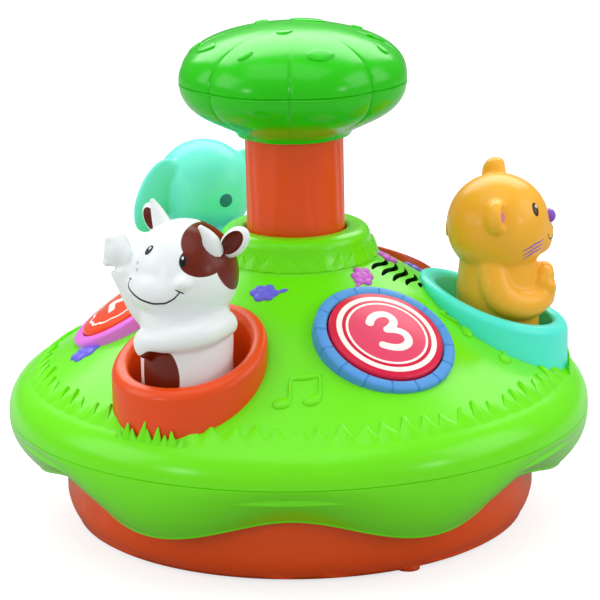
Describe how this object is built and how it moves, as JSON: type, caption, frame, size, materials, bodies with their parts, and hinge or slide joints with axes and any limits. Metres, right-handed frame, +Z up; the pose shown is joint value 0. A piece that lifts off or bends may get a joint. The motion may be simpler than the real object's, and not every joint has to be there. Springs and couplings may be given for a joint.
{
  "type": "animal sound spinner toy",
  "caption": "Domed baby toy whose carousel of animals in cups, with round push buttons between them, spins on its base when the central knob is pressed down.",
  "frame": {"origin": "middle of the underside of the feet, on the floor", "axes": "+Z up through the knob, -Y towards the viewer of the picture, between the cow and button 3; +X to that viewer's right, towards the cat"},
  "size_m": [0.2606, 0.2606, 0.2225],
  "materials": {
    "lime_plastic": "gloss lime green moulding",
    "grass_plastic": "gloss leaf green moulding",
    "trunk_plastic": "gloss red-orange moulding",
    "cow_cup_plastic": "gloss orange moulding",
    "cat_cup_plastic": "gloss turquoise moulding",
    "elephant_cup_plastic": "gloss violet moulding",
    "red_plastic": "gloss red moulding",
    "orange_plastic": "gloss orange moulding",
    "brick_plastic": "gloss brick red moulding",
    "blue_plastic": "gloss blue moulding",
    "pink_plastic": "gloss pink moulding",
    "cow_plastic": "white moulding with brown spray patches",
    "cat_plastic": "gloss amber moulding",
    "elephant_plastic": "gloss pale turquoise moulding",
    "cow_plug_plastic": "gloss brown moulding",
    "cat_plug_plastic": "gloss amber moulding",
    "elephant_plug_plastic": "dark turquoise moulding",
    "inner_plastic": "off-white moulding",
    "bearing_plastic": "natural low-friction moulding",
    "door_plastic": "matt red-orange moulding",
    "switch_plastic": "black moulding",
    "board_plastic": "green circuit board",
    "speaker_plastic": "black frame and cone",
    "foot_rubber": "soft grey rubber",
    "contact_rubber": "conductive rubber dome",
    "steel": "bright steel",
    "ball_steel": "polished steel",
    "spring_steel": "spring wire",
    "cell_jacket": "printed cell jacket without lettering"
  },
  "bodies": {
    "base": {"base_ring": "trunk_plastic", "base_feet": "foot_rubber", "spindle": "bearing_plastic", "spindle_screw": "steel", "retaining_ring": "steel"},
    "cage": {"ball_cage": "bearing_plastic", "bearing_balls": "ball_steel"},
    "carousel": {"lower_shell": "lime_plastic", "chassis": "inner_plastic", "dome_shell": "lime_plastic", "cow_pocket": "cow_cup_plastic", "cat_pocket": "cat_cup_plastic", "elephant_pocket": "elephant_cup_plastic", "button_housing_1": "brick_plastic", "button_housing_2": "pink_plastic", "button_housing_3": "blue_plastic", "speaker": "speaker_plastic", "sound_board": "board_plastic", "battery_box": "inner_plastic", "batteries": "cell_jacket", "battery_contacts": "spring_steel", "hub_bush": "bearing_plastic", "drive_tower": "inner_plastic", "clutch_cap": "inner_plastic", "shell_screws": "steel", "tower_screws": "steel", "button_contacts": "contact_rubber", "figure_pins": "steel", "figure_springs": "spring_steel"},
    "plunger": {"crown_top": "grass_plastic", "crown_bottom": "grass_plastic", "trunk": "trunk_plastic", "drive_rod": "steel", "rod_pin": "steel", "rod_guide": "bearing_plastic", "guide_pin": "steel", "plunger_spring": "spring_steel"},
    "nut": {"drive_nut": "bearing_plastic"},
    "button_1": {"button_cap_1": "brick_plastic", "button_spring_1": "spring_steel"},
    "button_2": {"button_cap_2": "orange_plastic", "button_spring_2": "spring_steel"},
    "button_3": {"button_cap_3": "red_plastic", "button_spring_3": "spring_steel"},
    "cow": {"cow_front": "cow_plastic", "cow_back": "cow_plastic", "cow_screw": "steel", "cow_plug": "cow_plug_plastic"},
    "cat": {"cat_front": "cat_plastic", "cat_back": "cat_plastic", "cat_screw": "steel", "cat_plug": "cat_plug_plastic"},
    "elephant": {"elephant_front": "elephant_plastic", "elephant_back": "elephant_plastic", "elephant_screw": "steel", "elephant_plug": "elephant_plug_plastic"},
    "door": {"battery_door": "door_plastic", "door_screw": "steel"},
    "switch": {"power_switch": "switch_plastic"}
  },
  "joints": [
    {"name": "carousel_spin", "type": "hinge", "parent": "base", "child": "carousel", "pos_m": [0, 0, 0.0302], "axis": [0, 0, 1], "continuous": true},
    {"name": "cage_spin", "type": "hinge", "parent": "base", "child": "cage", "pos_m": [0, 0, 0.0302], "axis": [0, 0, 1], "continuous": true},
    {"name": "plunger_slide", "type": "slide", "parent": "base", "child": "plunger", "axis": [0, 0, -1], "range_m": [0, 0.03], "stiffness_N_per_m": 200, "springref_m": -0.03, "deforming": ["plunger_spring"]},
    {"name": "nut_spin", "type": "hinge", "parent": "base", "child": "nut", "pos_m": [0, 0, 0.0868], "axis": [0, 0, 1], "range_deg": [0, 180]},
    {"name": "button_press_1", "type": "slide", "parent": "carousel", "child": "button_1", "axis": [-0.2573, -0.4548, -0.8526], "range_m": [0, 0.002], "stiffness_N_per_m": 400, "springref_m": -0.003, "deforming": ["button_spring_1"]},
    {"name": "button_press_2", "type": "slide", "parent": "carousel", "child": "button_2", "axis": [0.5225, 0.0046, -0.8526], "range_m": [0, 0.002], "stiffness_N_per_m": 400, "springref_m": -0.003, "deforming": ["button_spring_2"]},
    {"name": "button_press_3", "type": "slide", "parent": "carousel", "child": "button_3", "axis": [-0.2652, 0.4502, -0.8526], "range_m": [0, 0.002], "stiffness_N_per_m": 400, "springref_m": -0.003, "deforming": ["button_spring_3"]},
    {"name": "cow_rock", "type": "hinge", "parent": "carousel", "child": "cow", "pos_m": [-0.04702, -0.07674, 0.0645], "axis": [0.8526, -0.5225, 0], "range_deg": [-3, 7], "stiffness_Nm_per_rad": 0.15},
    {"name": "cat_rock", "type": "hinge", "parent": "carousel", "child": "cat", "pos_m": [0.08997, -0.00236, 0.0645], "axis": [0.0262, 0.9997, 0], "range_deg": [-3, 7], "stiffness_Nm_per_rad": 0.15},
    {"name": "elephant_rock", "type": "hinge", "parent": "carousel", "child": "elephant", "pos_m": [-0.04294, 0.07909, 0.0645], "axis": [-0.8788, -0.4772, 0], "range_deg": [-3, 7], "stiffness_Nm_per_rad": 0.15},
    {"name": "battery_door_slide", "type": "slide", "parent": "carousel", "child": "door", "axis": [0, 0, -1], "range_m": [0, 0.02]},
    {"name": "power_switch_slide", "type": "slide", "parent": "carousel", "child": "switch", "axis": [0.8526, -0.5225, 0], "range_m": [0, 0.008]}
  ],
  "couplings": [
    {"joint": "cage_spin", "follows": "carousel_spin", "ratio": 0.5},
    {"joint": "nut_spin", "follows": "plunger_slide", "rad_per_m": 104.7}
  ]
}
